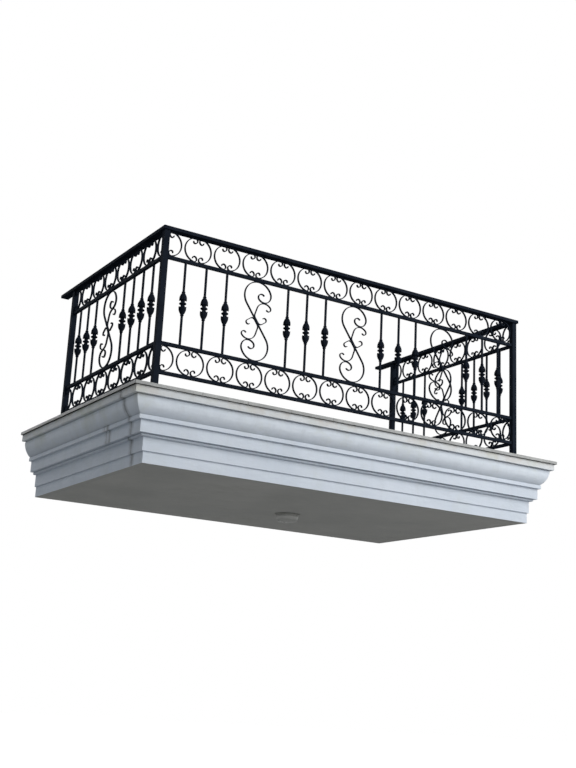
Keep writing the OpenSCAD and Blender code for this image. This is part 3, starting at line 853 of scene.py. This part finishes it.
def forged_balusters(side):
    """Square bars with a leafed double knuckle, welded to the rails at both ends."""
    node = side + "_balusters"
    bm = bmesh.new()
    knuckle = knuckle_rings()
    for low, high in solids_of(node):
        centre = (low + high) / 2
        closed_loft(bm, bar_rings(centre, low.z, high.z))
        smooth_loft(bm, [
            [(*around(centre, radius, turn), centre.z + z) for turn, radius, z in ring] for ring in knuckle
        ])
    piece = new_piece(node + "_forged", bm, [iron])
    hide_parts(node)


def lathe(name, centre, outline, material, node):
    """A smooth closed piece turned about an upright axis. The outline is radius and level, from pole to
    pole."""
    bm = bmesh.new()
    turns = turns_of(LAMP_SIDES)
    smooth_loft(bm, [[(*around(centre, radius, turn), z) for turn in turns] for radius, z in outline])
    piece = new_piece(name, bm, [material])
    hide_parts(node)


def lamp_plate():
    """Base plate with an eased rim."""
    low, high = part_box("ceiling_lamp_base")
    radius = (high.x - low.x) / 2
    outline = [(PLATE_CAP_R, high.z), (radius, high.z)]
    for step in range(PLATE_STEPS + 1):
        turn = math.pi / 2 * step / PLATE_STEPS
        outline.append((
            radius - PLATE_EASE * (1 - math.cos(turn)),
            low.z + PLATE_EASE * (1 - math.sin(turn)),
        ))
    outline.append((PLATE_CAP_R, low.z))
    lathe("ceiling_lamp_plate", (low + high) / 2, outline, enamel, "ceiling_lamp_base")


def lamp_glass():
    """Opal glass: full at the sides and nearly flat below."""
    low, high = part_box("ceiling_lamp_bowl")
    power = 2 / GLASS_FULLNESS

    def curve(radius, depth):
        """One face of the glass, from its rim to its pole."""
        points = []
        for step in range(GLASS_STEPS + 1):
            turn = math.pi / 2 * step / GLASS_STEPS
            across = max(radius * math.cos(turn) ** power, GLASS_CAP_R)
            points.append((across, high.z - depth * math.sin(turn) ** power))
        return points

    radius, depth = (high.x - low.x) / 2, high.z - low.z
    outline = curve(radius - GLASS_T, depth - GLASS_T)[::-1] + curve(radius, depth)
    lathe("ceiling_lamp_glass", (low + high) / 2, outline, opal, "ceiling_lamp_bowl")


tile_field()
for side in SIDES:
    edge_tiles(side)
for side in SIDES:
    forged_balusters(side)
lamp_plate()
lamp_glass()


# Floor, lights, background and camera

def studio_floor(level):
    """A wide pale floor at the ground, which takes the shadow and runs out into the white background.
    It is seen from above only, so that it doesn't stand in the way of a look at the underside."""
    bm = bmesh.new()
    bmesh.ops.create_circle(bm, cap_ends=True, segments=FLOOR_SIDES, radius=FLOOR_REACH)
    mesh = bpy.data.meshes.new("studio_floor")
    bm.to_mesh(mesh)
    bm.free()
    floor = bpy.data.objects.new("studio_floor", mesh)
    floor.location = (0, 0, level)
    bpy.context.scene.collection.objects.link(floor)
    made, tree, shader = new_material(
        "studio_floor", 0.9, Specular_IOR_Level=0.0, Emission_Color=STUDIO_WHITE,
    )
    seen = add(tree, "LightPath").outputs["Is Camera Ray"]
    tree.links.new(mix(tree, seen, FLOOR_LIT, FLOOR_SEEN), shader.inputs["Base Color"])
    away = add(tree, "VectorMath", {0: place(tree)}, operation="LENGTH").outputs["Value"]
    glow = spread(tree, away, FLOOR_NEAR, FLOOR_FADE, FLOOR_GLOW_NEAR, 1.0)
    tree.links.new(times(tree, seen, glow), shader.inputs["Emission Strength"])
    from_below = times(tree, seen, add(tree, "NewGeometry").outputs["Backfacing"])
    clear = add(tree, "BsdfTransparent").outputs["BSDF"]
    choice = add(tree, "MixShader", {"Fac": from_below, 1: shader.outputs["BSDF"], 2: clear})
    tree.links.new(choice.outputs["Shader"], tree.nodes["Material Output"].inputs["Surface"])
    mesh.materials.append(made)


def studio_world():
    """White where the camera, a reflection or glass looks at it, and a dimmer soft light on the object."""
    world = bpy.data.worlds.new("studio")
    bpy.context.scene.world = world
    world.use_nodes = True
    tree = world.node_tree
    light = tree.nodes["Background"]
    light.inputs["Color"].default_value = SKY_TINT
    light.inputs["Strength"].default_value = WORLD_LIGHT
    white = add(tree, "Background", {"Color": STUDIO_WHITE, "Strength": 1.0}).outputs["Background"]
    path = add(tree, "LightPath").outputs
    looked_at = highest(tree, path["Is Camera Ray"], path["Is Transmission Ray"])
    looked_at = highest(tree, looked_at, path["Is Glossy Ray"])
    choice = add(tree, "MixShader", {"Fac": looked_at, 1: light.outputs["Background"], 2: white})
    tree.links.new(choice.outputs["Shader"], tree.nodes["World Output"].inputs["Surface"])


def soft_light(name, towards, where, on_object, color):
    """A square soft light. on_object is the light that it gives a surface that faces it, where 1 is
    plain."""
    data = bpy.data.lights.new(name, "AREA")
    data.size = LIGHT_SIZE
    reach = Vector(where) - towards
    data.energy = on_object * 4 * math.pi * reach.length_squared
    data.color = color
    light = bpy.data.objects.new(name, data)
    light.location = where
    light.rotation_euler = reach.to_track_quat("Z", "Y").to_euler()
    light.visible_camera = False
    bpy.context.scene.collection.objects.link(light)


def corners_of(box):
    low, high = box
    return [Vector((x, y, z)) for x in (low.x, high.x) for y in (low.y, high.y) for z in (low.z, high.z)]


def photo_camera(place_from):
    """A camera at the photograph's place. From the photograph's direction it swings to the balcony by the
    shortest turn, and its lens is as long as lets the balcony fill the frame."""
    data = bpy.data.cameras.new("camera")
    camera = bpy.data.objects.new("camera", data)
    bpy.context.scene.collection.objects.link(camera)
    bpy.context.scene.camera = camera
    corners = [corner for name in nodes for corner in corners_of(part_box(name))]
    ahead = Vector((0, 0, -1))
    level = Euler((math.pi / 2 + PHOTO_RISE, 0, -PHOTO_BEARING)).to_quaternion()
    turned = level
    for _ in range(AIM_STEPS):
        local = [turned.inverted() @ (corner - place_from) for corner in corners]
        across = [p.x / -p.z for p in local]
        upward = [p.y / -p.z for p in local]
        centre = Vector(((min(across) + max(across)) / 2, (min(upward) + max(upward)) / 2, -1))
        turned = (level @ ahead).rotation_difference(turned @ centre) @ level
    half_w = (max(across) - min(across)) / 2
    half_h = (max(upward) - min(upward)) / 2
    camera.location = place_from
    camera.rotation_euler = turned.to_euler()
    # The sensor's width lies along the longer side of the frame, which is its height
    data.sensor_fit = "AUTO"
    data.sensor_width = SENSOR_W
    data.lens = SENSOR_W / 2 / (max(half_w * PHOTO_H / PHOTO_W, half_h) * FRAME_MARGIN)
    data.clip_end = CLIP_END


middle = (cad_box[0] + cad_box[1]) / 2
studio_floor(CAMERA_PLACE.z - EYE_HEIGHT)
studio_world()
soft_light("key_light", middle, *KEY_LIGHT)
soft_light("fill_light", middle, *FILL_LIGHT)
soft_light("back_light", middle, *BACK_LIGHT)
photo_camera(CAMERA_PLACE)

bpy.context.scene.view_settings.view_transform = "Standard"
